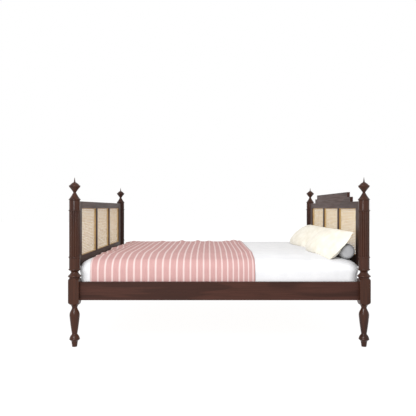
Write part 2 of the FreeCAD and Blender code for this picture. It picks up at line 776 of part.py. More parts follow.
def mattress():
    """Rounded edges, sides drawn in a little at the waist, and a flat top that slopes to its edges."""
    half_x, half_y = measure("mattress_length / 2"), measure("mattress_width / 2")
    height, low = measure("mattress_height"), measure(mattress_low)
    edge, base = measure("mattress_edge_radius"), measure("mattress_base_radius")
    turn = math.pi / 2 - math.atan(measure("mattress_slope_share"))
    levels = []
    for degrees in (0, 45, 90):
        angle = math.radians(degrees)
        levels.append((base * (1 - math.sin(angle)), base * (1 - math.cos(angle))))
    levels.append((measure("mattress_waist"), (base + height - edge) / 2))
    for share in (0, 0.2, 0.4, 0.6, 0.8, 1):
        angle = turn * share
        levels.append((edge * (1 - math.cos(angle)), height - edge + edge * math.sin(angle)))
    levels.append((measure("mattress_slope_margin"), height + measure(slope_rise)))
    radius = measure("mattress_corner_radius")
    rings = [
        rounded_rectangle(half_x - inset, half_y - inset, radius, low + level) for inset, level in levels]
    return soft_solid("mattress", rings)


def throw():
    """A sheet over the mattress, tucked inside both side rails, with ripples across its top."""
    half, edge = measure("mattress_width / 2"), measure("mattress_edge_radius")
    gap, thick = measure("throw_gap"), measure("throw_thickness")
    margin, slope = measure("mattress_slope_margin"), measure("mattress_slope_share")
    top, hem = measure(mattress_high), measure(f"{rail_high} - throw_tuck")
    ripple, count = measure("throw_ripple"), int(measure("throw_ripple_count"))
    start = measure("throw_foot_inset - mattress_length / 2")
    length = measure("throw_length")
    steps = 4 * count
    turn = math.pi / 2 - math.atan(slope)

    def side_points(x, away, lift, across):
        """From the hem up to the flat top, where a slope ends; away is the distance off the mattress."""
        spots = [(half + away, hem)]
        for angle in (0, turn / 2, turn):
            reach = edge + away
            spots.append((half - edge + reach * math.cos(angle), top - edge + reach * math.sin(angle)))
        inset = min(margin, measure("mattress_length / 2") - abs(x))
        spots.append((half - inset, top + measure(slope_start) + slope * inset + away + lift))
        return [FreeCAD.Vector(x, across * y, z) for y, z in spots]

    sections = []
    for step in range(steps + 1):
        x = start + length * step / steps
        lift = ripple * (1 - math.cos(math.pi * step / 2)) / 2
        runs = [
            side_points(x, gap + thick, lift, -1),
            side_points(x, gap + thick, lift, 1)[::-1],
            side_points(x, gap, lift, 1),
            side_points(x, gap, lift, -1)[::-1],
        ]
        edges = []
        for index, points in enumerate(runs):
            for span in (points[:2], points[1:4], points[3:]):
                curve = Part.Arc(*span) if len(span) == 3 else Part.LineSegment(*span)
                edges.append(curve.toShape())
            edges.append(Part.LineSegment(points[-1], runs[(index + 1) % 4][0]).toShape())
        sections.append(Part.Wire(edges))
    return soft_solid("throw", sections)


# The bolster lies in front of the headboard, on the slope at the end of the mattress.
bolster_x = f"({half_length} - frame_thickness / 2 - bolster_setback - bolster_radius)"
over_edge = f"({bolster_x} - mattress_length / 2 + mattress_edge_radius)"
bolster_off = f"(mattress_edge_radius + bolster_radius + seat_gap) * {slope_length}"
bolster_z = f"({mattress_high} - mattress_edge_radius + {bolster_off} - {over_edge} * mattress_slope_share)"
bolster_length = "(2 * bolster_puff + 2 * bolster_shoulder + bolster_barrel)"
bolster = turned_body("bolster_turning", "bolster_base_radius", bolster_sections)
bolster.Placement.Rotation = turn_to_axis["y"]
piece(put(bolster, bolster_x, f"-{bolster_length} / 2", bolster_z), "bolster")


def pillow(label, right_end):
    """Stands on the mattress and leans on the bolster: a flat base, a nearly flat back and a full front that
    thin out to the two ends, with the top edge drawn in between its corners."""
    lean = math.radians(measure("pillow_lean_angle"))
    back_swell, front_swell = measure("pillow_back_swell"), measure("pillow_front_swell")
    base, hem = measure("pillow_base"), measure("pillow_hem")
    height, draw = measure("pillow_height"), measure("pillow_draw")
    stand_off = measure("bolster_radius + seat_gap") + back_swell
    seat = measure(f"{mattress_high} + {slope_rise} + seat_gap")
    bolster_above = measure(bolster_z) - seat
    back_x = measure(bolster_x) - (stand_off + bolster_above * math.cos(lean)) / math.sin(lean)
    low_y, length = measure(right_end), measure("pillow_length")

    def swollen(start, end, swell):
        """An arc from start to end, swelling to the left of that direction."""
        chord = end - start
        aside = FreeCAD.Vector(-chord.z, 0, chord.x).normalize()
        return Part.Arc(start, (start + end) * 0.5 + aside * swell, end).toShape()

    sections = []
    end_fullness = measure("pillow_end_fullness")
    for degrees in range(0, 181, 18):
        share = -math.cos(math.radians(degrees))
        y = low_y + length * (1 + share) / 2
        fullness = math.sqrt(1 - (1 - end_fullness ** 2) * share ** 2)
        rise = height - draw * (1 - share ** 2)
        heel = FreeCAD.Vector(back_x, y, seat)
        toe = heel - FreeCAD.Vector(hem + (base - hem) * fullness, 0, 0)
        crest = heel + FreeCAD.Vector(math.cos(lean), 0, math.sin(lean)) * rise
        sections.append(Part.Wire([
            Part.LineSegment(toe, heel).toShape(),
            swollen(heel, crest, -back_swell * fullness),
            swollen(crest, toe, -front_swell * fullness),
        ]))
    return soft_solid(label, sections)


mattress()
throw()
pillow("pillow_right", "pillow_side_inset - mattress_width / 2")
pillow("pillow_left", "pillow_side_inset - mattress_width / 2 + pillow_length + pillow_spacing")

doc.recompute()
for item in doc.Objects:
    if "Invalid" in item.State or "Error" in item.State:
        raise RuntimeError(f"{item.Label} failed to build")
for item in pieces:
    if item.Shape.isNull() or not item.Shape.isValid():
        raise RuntimeError(f"{item.Label} has no valid shape")

os.makedirs("parts", exist_ok=True)
for item in pieces:
    item.Shape.exportStep(f"parts/{item.Label}.step")
print(len(pieces), "pieces written")
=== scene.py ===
import math

import bmesh
import bpy
import numpy as np
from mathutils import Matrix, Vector


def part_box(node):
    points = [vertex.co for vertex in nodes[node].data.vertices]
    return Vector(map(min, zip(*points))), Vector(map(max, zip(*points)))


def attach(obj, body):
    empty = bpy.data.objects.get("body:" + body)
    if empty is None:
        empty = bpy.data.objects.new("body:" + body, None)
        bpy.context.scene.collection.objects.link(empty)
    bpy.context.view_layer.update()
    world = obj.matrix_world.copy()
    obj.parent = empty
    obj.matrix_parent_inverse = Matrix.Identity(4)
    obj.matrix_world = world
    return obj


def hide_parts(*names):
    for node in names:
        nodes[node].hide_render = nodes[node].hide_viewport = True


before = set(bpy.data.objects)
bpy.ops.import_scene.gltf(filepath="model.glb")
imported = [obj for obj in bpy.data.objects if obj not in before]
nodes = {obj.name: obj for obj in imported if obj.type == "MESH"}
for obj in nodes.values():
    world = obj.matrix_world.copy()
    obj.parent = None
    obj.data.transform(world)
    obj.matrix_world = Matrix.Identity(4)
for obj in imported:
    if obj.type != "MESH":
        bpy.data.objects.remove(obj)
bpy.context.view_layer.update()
mm = 0.001
tiny = 1e-9  # keeps a division by a length safe where the length is zero
print("frame loaded:", len(nodes), "nodes")


def linear(hexColour):
    # sRGB hex to linear light, with full alpha
    channels = [int(hexColour[start:start + 2], 16) / 255 for start in (1, 3, 5)]
    return [c / 12.92 if c <= 0.04045 else ((c + 0.055) / 1.055) ** 2.4 for c in channels] + [1.0]


def addNode(tree, kind, inputs, **settings):
    # one node: settings are its properties, inputs are plain values or the output sockets that feed it
    node = tree.nodes.new(kind)
    for name, value in settings.items():
        setattr(node, name, value)
    for socket, value in inputs.items():
        if isinstance(value, bpy.types.NodeSocket):
            tree.links.new(value, node.inputs[socket])
        else:
            node.inputs[socket].default_value = value
    return node


def newMaterial(name, constants):
    material = bpy.data.materials.new(name)
    material.use_nodes = True
    surface = material.node_tree.nodes["Principled BSDF"]
    for socket, value in constants.items():
        surface.inputs[socket].default_value = value
    return material, material.node_tree, surface


def gridFaces(rows, columns, closed=False):
    # quads of a grid whose points are numbered row by row; closed joins the last column to the first
    row = np.arange(rows - 1)[:, None] * columns
    column = np.arange(columns if closed else columns - 1)[None, :]
    beside = (column + 1) % columns
    corners = [row + column, row + beside, row + columns + beside, row + columns + column]
    return np.stack(np.broadcast_arrays(*corners), -1).reshape(-1, 4)


def newPiece(name, points, faces, material):
    # a smooth-shaded mesh of quads, with its place in its points
    mesh = bpy.data.meshes.new(name)
    mesh.vertices.add(len(points))
    mesh.vertices.foreach_set("co", np.ascontiguousarray(points, np.float32).ravel())
    mesh.loops.add(faces.size)
    mesh.loops.foreach_set("vertex_index", np.ascontiguousarray(faces, np.int32).ravel())
    mesh.polygons.add(len(faces))
    mesh.polygons.foreach_set("loop_start", np.arange(0, faces.size, 4, dtype=np.int32))
    mesh.polygons.foreach_set("use_smooth", np.ones(len(faces), bool))
    mesh.update(calc_edges=True)
    mesh.validate()
    mesh.materials.append(material)
    piece = bpy.data.objects.new(name, mesh)
    bpy.context.scene.collection.objects.link(piece)
    return piece


def readPoints(mesh):
    points = np.empty(len(mesh.vertices) * 3, np.float32)
    mesh.vertices.foreach_get("co", points)
    return points.reshape(-1, 3).astype(float)


def writePoints(mesh, points):
    mesh.vertices.foreach_set("co", np.ascontiguousarray(points, np.float32).ravel())
    mesh.update()


def fitted(points, low, high):
    # the same points stretched along each axis to fill that box
    least, most = points.min(axis=0), points.max(axis=0)
    return low + (points - least) * (high - low) / (most - least)


def unevenness(first, second, wavelength, seed, count=7, spread=(0.7, 1.4)):
    # smooth bumps of about one: sine waves of about that wavelength, each in its own direction
    random = np.random.default_rng(seed)
    total = np.zeros(np.broadcast(first, second).shape)
    turns, phases = random.uniform(0, 2 * math.pi, (2, count))
    for turn, phase, stretch in zip(turns, phases, random.uniform(*spread, count)):
        wave = 2 * math.pi / (wavelength * stretch)
        total += np.sin(wave * (first * math.cos(turn) + second * math.sin(turn)) + phase)
    return total / math.sqrt(count)


# Timber

sheesham = {
    "early": "#432821", "late": "#39221B", "heart": "#2C1A15", "pore": "#1F110D",
    "figureMm": (1200, 120), "grainMm": (260, 9), "poreMm": (46, 2.2), "specular": 0.12,
    "figureShare": 0.6, "poreShare": 0.4, "roughness": (0.37, 0.5), "bumpMm": 0.2,
}
turned = dict(sheesham, early="#3F2419", late="#351E15", heart="#291611", specular=0.2, roughness=(0.2, 0.28))
pine = {
    "early": "#D9B88A", "late": "#BF9560", "heart": "#A87B48", "pore": "#8C6236",
    "figureMm": (900, 40), "grainMm": (420, 7), "poreMm": (60, 2.5), "specular": 0.4,
    "figureShare": 0.35, "poreShare": 0.25, "roughness": (0.5, 0.68), "bumpMm": 0.2,
}


def timber(name, finish, axis):
    # Planed or turned wood: early and late wood in streaks along the grain, slow patches of darker heart,
    # and short dark pores. The pores are drawn several times too wide, because real ones wouldn't show.
    material, tree, surface = newMaterial(name, {"IOR": 1.5, "Specular IOR Level": finish["specular"]})
    coordinates = addNode(tree, "ShaderNodeTexCoord", {}).outputs["Object"]
    layers = {}
    for layer, detail, distortion in (("figure", 2.0, 0.9), ("grain", 5.0, 0.35), ("pore", 2.0, 0.0)):
        long, wide = (size * mm for size in finish[layer + "Mm"])
        scale = [1 / (long if index == axis else wide) for index in range(3)]
        place = addNode(tree, "ShaderNodeMapping", {"Vector": coordinates, "Scale": scale}).outputs["Vector"]
        layers[layer] = addNode(tree, "ShaderNodeTexNoise", {
            "Vector": place, "Scale": 1.0, "Detail": detail, "Roughness": 0.6, "Distortion": distortion,
        }).outputs["Fac"]
    streaks = addNode(tree, "ShaderNodeMapRange", {
        "Value": layers["grain"], "From Min": 0.36, "From Max": 0.64}).outputs["Result"]
    patches = addNode(tree, "ShaderNodeMapRange", {
        "Value": layers["figure"], "From Min": 0.5, "From Max": 0.56, "To Max": finish["figureShare"],
    }, interpolation_type="SMOOTHSTEP").outputs["Result"]
    ticks = addNode(tree, "ShaderNodeMapRange", {
        "Value": layers["pore"], "From Min": 0.58, "From Max": 0.72, "To Max": finish["poreShare"],
    }).outputs["Result"]
    wood = addNode(tree, "ShaderNodeMix", {
        0: streaks, 6: linear(finish["late"]), 7: linear(finish["early"])}, data_type="RGBA").outputs[2]
    figured = addNode(tree, "ShaderNodeMix", {
        0: patches, 6: wood, 7: linear(finish["heart"])}, data_type="RGBA").outputs[2]
    colour = addNode(tree, "ShaderNodeMix", {
        0: ticks, 6: figured, 7: linear(finish["pore"])}, data_type="RGBA").outputs[2]
    smooth, rough = finish["roughness"]
    roughness = addNode(tree, "ShaderNodeMapRange", {
        "Value": streaks, "To Min": rough, "To Max": smooth}).outputs["Result"]
    height = addNode(tree, "ShaderNodeMath", {0: streaks, 1: ticks}, operation="SUBTRACT").outputs[0]
    bump = addNode(tree, "ShaderNodeBump", {
        "Height": height, "Strength": 0.5, "Distance": finish["bumpMm"] * mm}).outputs["Normal"]
    tree.links.new(colour, surface.inputs["Base Color"])
    tree.links.new(roughness, surface.inputs["Roughness"])
    tree.links.new(bump, surface.inputs["Normal"])
    return material


# Sheesham stained walnut under lacquer: nearly black-brown, with red in the light streaks. The boards are
# satin, and the turned posts and finials, burnished on the lathe, throw small crisp lights.
turnedWood = timber("turnedWalnutStainedSheesham", turned, 2)
darkWood = [timber("walnutStainedSheesham" + letter, sheesham, axis) for axis, letter in enumerate("XYZ")]
slatWood = [timber("planedPine" + letter, pine, axis) for axis, letter in enumerate("XYZ")]

# Steel

zinc = {"light": "#B9BABD", "dark": "#8E9094", "patchMm": 9, "roughness": (0.3, 0.48)}


def zincPlatedSteel(finish):
    # Cold-headed steel, bright zinc: a grey metal with faint cloudy patches.
    material, tree, surface = newMaterial("zincPlatedSteel", {"Metallic": 1.0})
    coordinates = addNode(tree, "ShaderNodeTexCoord", {}).outputs["Object"]
    cloud = addNode(tree, "ShaderNodeTexNoise", {
        "Vector": coordinates, "Scale": 1 / (finish["patchMm"] * mm), "Detail": 3.0}).outputs["Fac"]
    colour = addNode(tree, "ShaderNodeMix", {
        0: cloud, 6: linear(finish["light"]), 7: linear(finish["dark"])}, data_type="RGBA").outputs[2]
    roughness = addNode(tree, "ShaderNodeMapRange", {
        "Value": cloud, "To Min": finish["roughness"][0], "To Max": finish["roughness"][1]}).outputs["Result"]
    tree.links.new(colour, surface.inputs["Base Color"])
    tree.links.new(roughness, surface.inputs["Roughness"])
    return material


# Cane webbing and its spline

rattan = {
    "pale": "#E2C993", "deep": "#C59F60", "splinePale": "#C9A56C", "splineDeep": "#A67C46",
    "fibreMm": 40, "bumpMm": 0.2, "roughness": 0.42,
}
weave = {
    "columns": 40, "rows": 29, "pairShare": 0.14, "straightMm": 1.9, "slantMm": 2.2, "thickMm": 0.5,
    "straightWaveMm": 0.15, "slantWaveMm": 0.5, "edgeShare": 0.02, "toneSpan": (0.55, 1.0), "seed": 4,
}


def rattanPeel(name, finish, pale, deep, attribute):
    # Split skin of rattan: straw yellow, a little glossy, each strand its own tone that changes slowly.
    material, tree, surface = newMaterial(name, {"Roughness": finish["roughness"], "IOR": 1.5})
    coordinates = addNode(tree, "ShaderNodeTexCoord", {}).outputs["Object"]
    fibres = addNode(tree, "ShaderNodeTexNoise", {
        "Vector": coordinates, "Scale": 1 / (finish["fibreMm"] * mm), "Detail": 4.0}).outputs["Fac"]
    tone = fibres
    if attribute:
        strand = addNode(tree, "ShaderNodeAttribute", {}, attribute_name=attribute).outputs["Fac"]
        tone = addNode(tree, "ShaderNodeMath", {0: fibres, 1: strand}, operation="MULTIPLY").outputs[0]
    share = addNode(tree, "ShaderNodeMapRange", {
        "Value": tone, "From Min": 0.15, "From Max": 0.6}).outputs["Result"]
    colour = addNode(tree, "ShaderNodeMix", {
        0: share, 6: linear(deep), 7: linear(pale)}, data_type="RGBA").outputs[2]
    bump = addNode(tree, "ShaderNodeBump", {
        "Height": fibres, "Strength": 0.3, "Distance": finish["bumpMm"] * mm}).outputs["Normal"]
    tree.links.new(colour, surface.inputs["Base Color"])
    tree.links.new(bump, surface.inputs["Normal"])
    return material


def canePanel(settings, across, up):
    # Six-way cane: upright and level strands in pairs on the cell middles, and single slanting strands both
    # ways through the cell corners. A strand is a lens of four corners (left, skin, right, back) carried
    # along its path. The path leaves the middle plane by a cosine or sine of the distance along it, so that
    # slants pass over one pair and under the next.
    columns, rows = settings["columns"], settings["rows"]
    cell = np.array([across / columns, up / rows])
    thick = settings["thickMm"] * mm / 2
    edge = settings["edgeShare"]
    tones = np.random.default_rng(settings["seed"])
    pairs = (-settings["pairShare"], settings["pairShare"])
    strands = []
    for middle in np.arange(columns) + 0.5:
        for shift in pairs:
            line = np.linspace(edge, rows - edge, 2 * rows + 1)
            wave = np.sign(shift) * settings["straightWaveMm"] * np.cos(math.pi * line)
            strands.append((np.full_like(line, middle + shift), line, wave, settings["straightMm"]))
    for middle in np.arange(rows) + 0.5:
        for shift in pairs:
            line = np.linspace(edge, columns - edge, 2 * columns + 1)
            wave = np.sign(shift) * settings["straightWaveMm"] * np.sin(math.pi * line)
            strands.append((line, np.full_like(line, middle + shift), wave, settings["straightMm"]))
    for rise in np.arange(-columns, rows) + 0.5:
        for slope in (1, -1):
            start, end = max(edge, edge - rise), min(columns, rows - rise) - edge
            line = np.union1d(np.arange(math.ceil(2 * start), 2 * end) / 2, [start, end])
            level = line + rise
            wave = -slope * settings["slantWaveMm"] * np.cos(2 * math.pi * line)
            strands.append((line, level if slope > 0 else rows - level, wave, settings["slantMm"]))
    points, faces, tone, count = [], [], [], 0
    for column, row, wave, width in strands:
        path = np.stack([wave * mm, column * cell[0], row * cell[1]], 1)
        along = np.gradient(path[:, 1:], axis=0)
        side = np.stack([-along[:, 1], along[:, 0]], 1) / np.linalg.norm(along, axis=1)[:, None]
        aside = np.concatenate([np.zeros((len(path), 1)), side], 1) * width * mm / 2
        skin = np.array([thick, 0, 0])
        points.append(np.stack([path - aside, path + skin, path + aside, path - skin], 1).reshape(-1, 3))
        ends = np.array([[0, 1, 2, 3], [3, 2, 1, 0]]) + [[0], [4 * (len(path) - 1)]]
        faces.append(np.concatenate([gridFaces(len(path), 4, closed=True), ends]) + count)
        tone.append(np.full(4 * len(path), tones.uniform(*settings["toneSpan"])))
        count += 4 * len(path)
    return np.concatenate(points), np.concatenate(faces), np.concatenate(tone)


caneSkin = rattanPeel("rattanPeelCane", rattan, rattan["pale"], rattan["deep"], "strandTone")
caneSpline = rattanPeel("rattanSpline", rattan, rattan["splinePale"], rattan["splineDeep"], "")
panelLow, panelHigh = (np.array(corner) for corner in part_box("foot_cane_right"))
panelPoints, panelFaces, panelTone = canePanel(weave, *(panelHigh - panelLow)[1:])
for end in ("foot", "head"):
    for place in ("right", "middle", "left"):
        node = f"{end}_cane_{place}"
        low, high = (np.array(corner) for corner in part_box(node))
        shift = [(low[0] + high[0]) / 2, low[1], low[2]]
        cane = newPiece(f"{end}Cane{place.capitalize()}", panelPoints + shift, panelFaces, caneSkin)
        cane.data.attributes.new("strandTone", "FLOAT", "POINT").data.foreach_set("value", panelTone)
        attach(cane, "frame")
        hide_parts(node)
print("cane panels woven:", len(panelFaces), "faces each")

# Cotton

percale = {
    "light": "#D8D8D9", "shade": "#D0D0D2", "slubMm": 3.5, "mottleMm": 90, "roughness": 0.92, "bumpMm": 0.25,
}
creamCotton = {
    "light": "#E3DFD4", "shade": "#D6D0C1", "slubMm": 3.0, "mottleMm": 60, "roughness": 0.9, "bumpMm": 0.3,
}
greyCotton = {
    "light": "#A2A2A4", "shade": "#919193", "slubMm": 3.0, "mottleMm": 50, "roughness": 0.92, "bumpMm": 0.3,
}


def plainCotton(name, finish):
    # Plain woven cotton, washed: matt, with a faint nap at the edges, slubs in the yarn and slow uneven
    # tone. The slubs stand for threads of about 0.3 mm, which wouldn't show, so they are drawn ten times
    # coarser.
    material, tree, surface = newMaterial(name, {
        "Roughness": finish["roughness"], "Sheen Weight": 0.15, "Sheen Roughness": 0.4, "IOR": 1.45})
    coordinates = addNode(tree, "ShaderNodeTexCoord", {}).outputs["Object"]
    slubs = addNode(tree, "ShaderNodeTexNoise", {
        "Vector": coordinates, "Scale": 1 / (finish["slubMm"] * mm), "Detail": 3.0}).outputs["Fac"]
    mottle = addNode(tree, "ShaderNodeTexNoise", {
        "Vector": coordinates, "Scale": 1 / (finish["mottleMm"] * mm), "Detail": 2.0}).outputs["Fac"]
    both = addNode(tree, "ShaderNodeMath", {0: slubs, 1: mottle}, operation="MULTIPLY").outputs[0]
    share = addNode(tree, "ShaderNodeMapRange", {
        "Value": both, "From Min": 0.15, "From Max": 0.36}).outputs["Result"]
    colour = addNode(tree, "ShaderNodeMix", {
        0: share, 6: linear(finish["shade"]), 7: linear(finish["light"])}, data_type="RGBA").outputs[2]
    bump = addNode(tree, "ShaderNodeBump", {
        "Height": slubs, "Strength": 0.35, "Distance": finish["bumpMm"] * mm}).outputs["Normal"]
    tree.links.new(colour, surface.inputs["Base Color"])
    tree.links.new(bump, surface.inputs["Normal"])
    return material


def stuffed(node, name, settings, material):
    # A padded piece from its CAD solid: its sides drawn in, or let out where drawMm is negative, remeshed to
    # even squares and blown up as cloth, with each point's move kept under a cap.
    weld = 0.01 * mm
    source = bmesh.new()
    source.from_mesh(nodes[node].data)
    bmesh.ops.remove_doubles(source, verts=source.verts, dist=weld)
    mesh = bpy.data.meshes.new(name)
    source.to_mesh(mesh)
    source.free()
    low, high = (np.array(corner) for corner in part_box(node))
    centre, half = (low + high) / 2, (high - low) / 2
    writePoints(mesh, centre + (readPoints(mesh) - centre) * (half - settings["drawMm"] * mm) / half)
    shell = bpy.data.objects.new(name + "Shell", mesh)
    bpy.context.scene.collection.objects.link(shell)
    remesh = shell.modifiers.new("squares", "REMESH")
    remesh.mode = "VOXEL"
    remesh.voxel_size = settings["voxelMm"] * mm
    even = bpy.data.meshes.new_from_object(shell.evaluated_get(bpy.context.evaluated_depsgraph_get()))
    shell.modifiers.clear()
    shell.data = even
    before = readPoints(even)
    after = before
    cloth = shell.modifiers.new("stuffing", "CLOTH")
    cloth.settings.use_pressure = True
    cloth.settings.uniform_pressure_force = settings["pressure"]
    cloth.settings.tension_stiffness = settings["stiffness"]
    cloth.settings.compression_stiffness = settings["stiffness"]
    cloth.settings.bending_stiffness = settings["bending"]
    cloth.settings.effector_weights.gravity = 0
    for step in range(1, settings["steps"] + 1):
        bpy.context.scene.frame_set(step)
    blown = shell.evaluated_get(bpy.context.evaluated_depsgraph_get()).to_mesh()
    move = readPoints(blown) - before
    distance = np.linalg.norm(move, axis=1, keepdims=True)
    cap = settings["capMm"] * mm
    after = before + move * (cap * np.tanh(distance / cap) / np.maximum(distance, tiny))
    bpy.context.scene.frame_set(1)
    faces = np.empty(len(even.loops), np.int32)
    even.loops.foreach_get("vertex_index", faces)
    bpy.data.objects.remove(shell)
    return newPiece(name, after, faces.reshape(-1, 4), material)


# Mattress

mattressForm = {
    "drawMm": 0, "voxelMm": 15, "pressure": 3.0, "stiffness": 15, "bending": 0.5, "steps": 16, "capMm": 4,
    "edgeRadiusMm": 75, "cornerRadiusMm": 100, "cornerFillMm": 14,
    "slope": 0.17, "slopeMarginMm": 220, "slopeSoftMm": 45,
    "creasesMm": (-150, -92, -48, -14, 24, 70, 128), "creaseDepthMm": 3.0, "creaseWidthMm": 12,
    "creaseSlant": 0.16, "creaseSpread": 0.3, "unevenMm": 1.2, "unevenLengthMm": 260, "unevenSeed": 5,
    "bellyMm": 9, "bellyReachMm": 250, "bellyFromMm": 50, "bellyToMm": 190,
}
mattressLow, mattressHigh = (np.array(corner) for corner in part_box("mattress"))
edgeRadius = mattressForm["edgeRadiusMm"] * mm
tilt = math.atan(mattressForm["slope"])
bendInset = edgeRadius * (1 - math.sin(tilt))


def slopeHeight(inset):
    # a straight slope up to its margin and level beyond it, eased into each other by a hyperbola
    short = mattressForm["slopeMarginMm"] * mm - inset
    eased = (short + np.sqrt(short ** 2 + (mattressForm["slopeSoftMm"] * mm) ** 2)) / 2
    return mattressHigh[2] - mattressForm["slope"] * eased


shoulder = slopeHeight(bendInset) - edgeRadius * math.cos(tilt)


def mattressTop(x, y):
    # height of the mattress's upper face by the distance inwards: a quarter turn, then the slope that
    # leaves it as its tangent
    inset = np.clip(np.minimum(mattressHigh[0] - np.abs(x), mattressHigh[1] - np.abs(y)), 0, None)
    bend = shoulder + np.sqrt(edgeRadius ** 2 - np.clip(edgeRadius - inset, 0, None) ** 2)
    return np.where(inset < bendInset, bend, slopeHeight(inset))


def cornerFill(points, settings):
    # The sheet's corners stand fuller than a round: a push outwards from the corner's centre, by the sine
    # of twice the angle round it and the square of the distance.
    radius = settings["cornerRadiusMm"] * mm
    beyond = np.clip(np.abs(points[:, :2]) - (mattressHigh[:2] - radius), 0, None)
    distance = np.linalg.norm(beyond, axis=1)
    angle = np.arctan2(beyond[:, 1], beyond[:, 0])
    push = settings["cornerFillMm"] * mm * np.sin(2 * angle) * (distance / radius) ** 2
    return np.sign(points[:, :2]) * beyond * (push / np.maximum(distance, tiny))[:, None]


def cornerCreases(points, normals, settings):
    # Folds of the fitted sheet at the upright corners: each is a bell-shaped groove at its own distance
    # round the corner, leaning with height, every other one twice as much. Width and depth change from fold
    # to fold by a sine and a cosine, and a fold fades out where the face turns level.
    radius = settings["cornerRadiusMm"] * mm
    beyond = np.abs(points[:, :2]) - (mattressHigh[:2] - radius)
    quarter = radius * math.pi / 4
    angle = np.arctan2(beyond[:, 1], beyond[:, 0])
    around = np.where(beyond[:, 1] < 0, beyond[:, 1] - quarter, np.where(
        beyond[:, 0] < 0, quarter - beyond[:, 0], (angle - math.pi / 4) * radius))
    lean = settings["creaseSlant"] * (points[:, 2] - mattressLow[2])
    spread = settings["creaseSpread"]
    grooves = np.zeros(len(points))
    for index, place in enumerate(settings["creasesMm"]):
        width = settings["creaseWidthMm"] * mm * (1 + spread * math.sin(3 * index))
        depth = 1 - spread + spread * math.cos(2 * index)
        away = around - place * mm * (1 + lean * (1 if index % 2 else 2))
        grooves = np.maximum(grooves, depth * np.exp(-(away / width) ** 2))
    upright = 1 - np.clip(np.abs(normals[:, 2]), 0, 1) ** 2
    return settings["creaseDepthMm"] * mm * grooves * upright


whiteCotton = plainCotton("whitePercaleCotton", percale)
mattress = stuffed("mattress", "mattressWithSheet", mattressForm, whiteCotton)
points = fitted(readPoints(mattress.data), mattressLow, mattressHigh)
points[:, :2] += cornerFill(points, mattressForm)
writePoints(mattress.data, points)
normals = np.empty(len(points) * 3, np.float32)
mattress.data.vertex_normals.foreach_get("vector", normals)
normals = normals.reshape(-1, 3)
points -= normals * cornerCreases(points, normals, mattressForm)[:, None]
# The two ends swell out above the rails: a half sine wave over the belly's height, fading inwards by a
# square.
rise = (points[:, 2] - mattressLow[2]) / mm - mattressForm["bellyFromMm"]
swell = np.sin(np.clip(rise / (mattressForm["bellyToMm"] - mattressForm["bellyFromMm"]), 0, 1) * math.pi)
nearness = np.clip(1 - (mattressHigh[0] - np.abs(points[:, 0])) / (mattressForm["bellyReachMm"] * mm), 0, 1)
belly = np.sign(points[:, 0]) * mattressForm["bellyMm"] * mm * swell * nearness ** 2
level = np.clip(normals[:, 2], 0, 1)
points[:, 2] += level * mattressForm["unevenMm"] * mm * unevenness(
    points[:, 0], points[:, 1], mattressForm["unevenLengthMm"] * mm, mattressForm["unevenSeed"])
points[:, 2] = np.minimum(points[:, 2], mattressTop(points[:, 0], points[:, 1]))
points = np.clip(points, mattressLow, mattressHigh)
points[:, 0] += belly
writePoints(mattress.data, points)
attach(mattress, "mattress")
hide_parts("mattress")
print("mattress made:", len(points), "points")

# Throw

throwForm = {
    "columns": 150, "rows": 270, "thickMm": 3, "clearMm": 1.2,
    # The place of a stripe along the bed is a cubic in its number: these are its four terms in millimetres.
    "stripes": 25, "stripePlacesMm": (-925, 50.7, 0.292, -0.018), "stripeSamples": 400,
    "lineShare": 0.23, "softShare": 0.13,
    "swayMm": 2, "swayLengthMm": 520, "swaySeed": 3, "swayEndMm": 150, "swayEndShare": 0.25,
    "swayFromHemMm": (40, 120), "crumpleMm": 1.0, "crumpleLengthMm": 130, "crumpleSeed": 8,
    "billowMm": 1.25, "billowLengthMm": 210, "crossingShare": 0.35,
    # Soft folds, each from one place to another in millimetres along and across the bed, its height and
    # width.
    "folds": (
        ((-930, -700), (-880, -695), 8, 36), ((-930, -515), (-870, -525), 11, 40),
        ((-930, -300), (-885, -295), 7, 34), ((-930, -96), (-860, -80), 18, 38),
        ((-930, 195), (-870, 215), 13, 40), ((-930, 430), (-880, 425), 8, 36),
        ((-930, 667), (-860, 680), 13, 44), ((-560, 600), (-545, 900), 6, 30),
        ((-348, 540), (-352, 900), 13, 24), ((-188, 500), (-186, 900), 13, 24),
        ((-70, 640), (-70, 900), 7, 22), ((-600, -500), (-600, 500), 3, 40),
        ((-150, -560), (-150, 400), 3, 40), ((60, -700), (58, 300), 4, 34),
        ((110, 560), (118, 900), 8, 26), ((178, -700), (190, 900), 8, 24),
        ((190, 300), (182, 900), 14, 40), ((240, -640), (246, 880), 9, 18),
    ),
}
stripedCotton = {
    "ground": "#B8928F", "groundDeep": "#AE8886", "line": "#CCB7B4", "threadMm": 4.0, "slubMm": (60, 3),
    "bumpMm": 0.25, "roughness": 0.9,
}


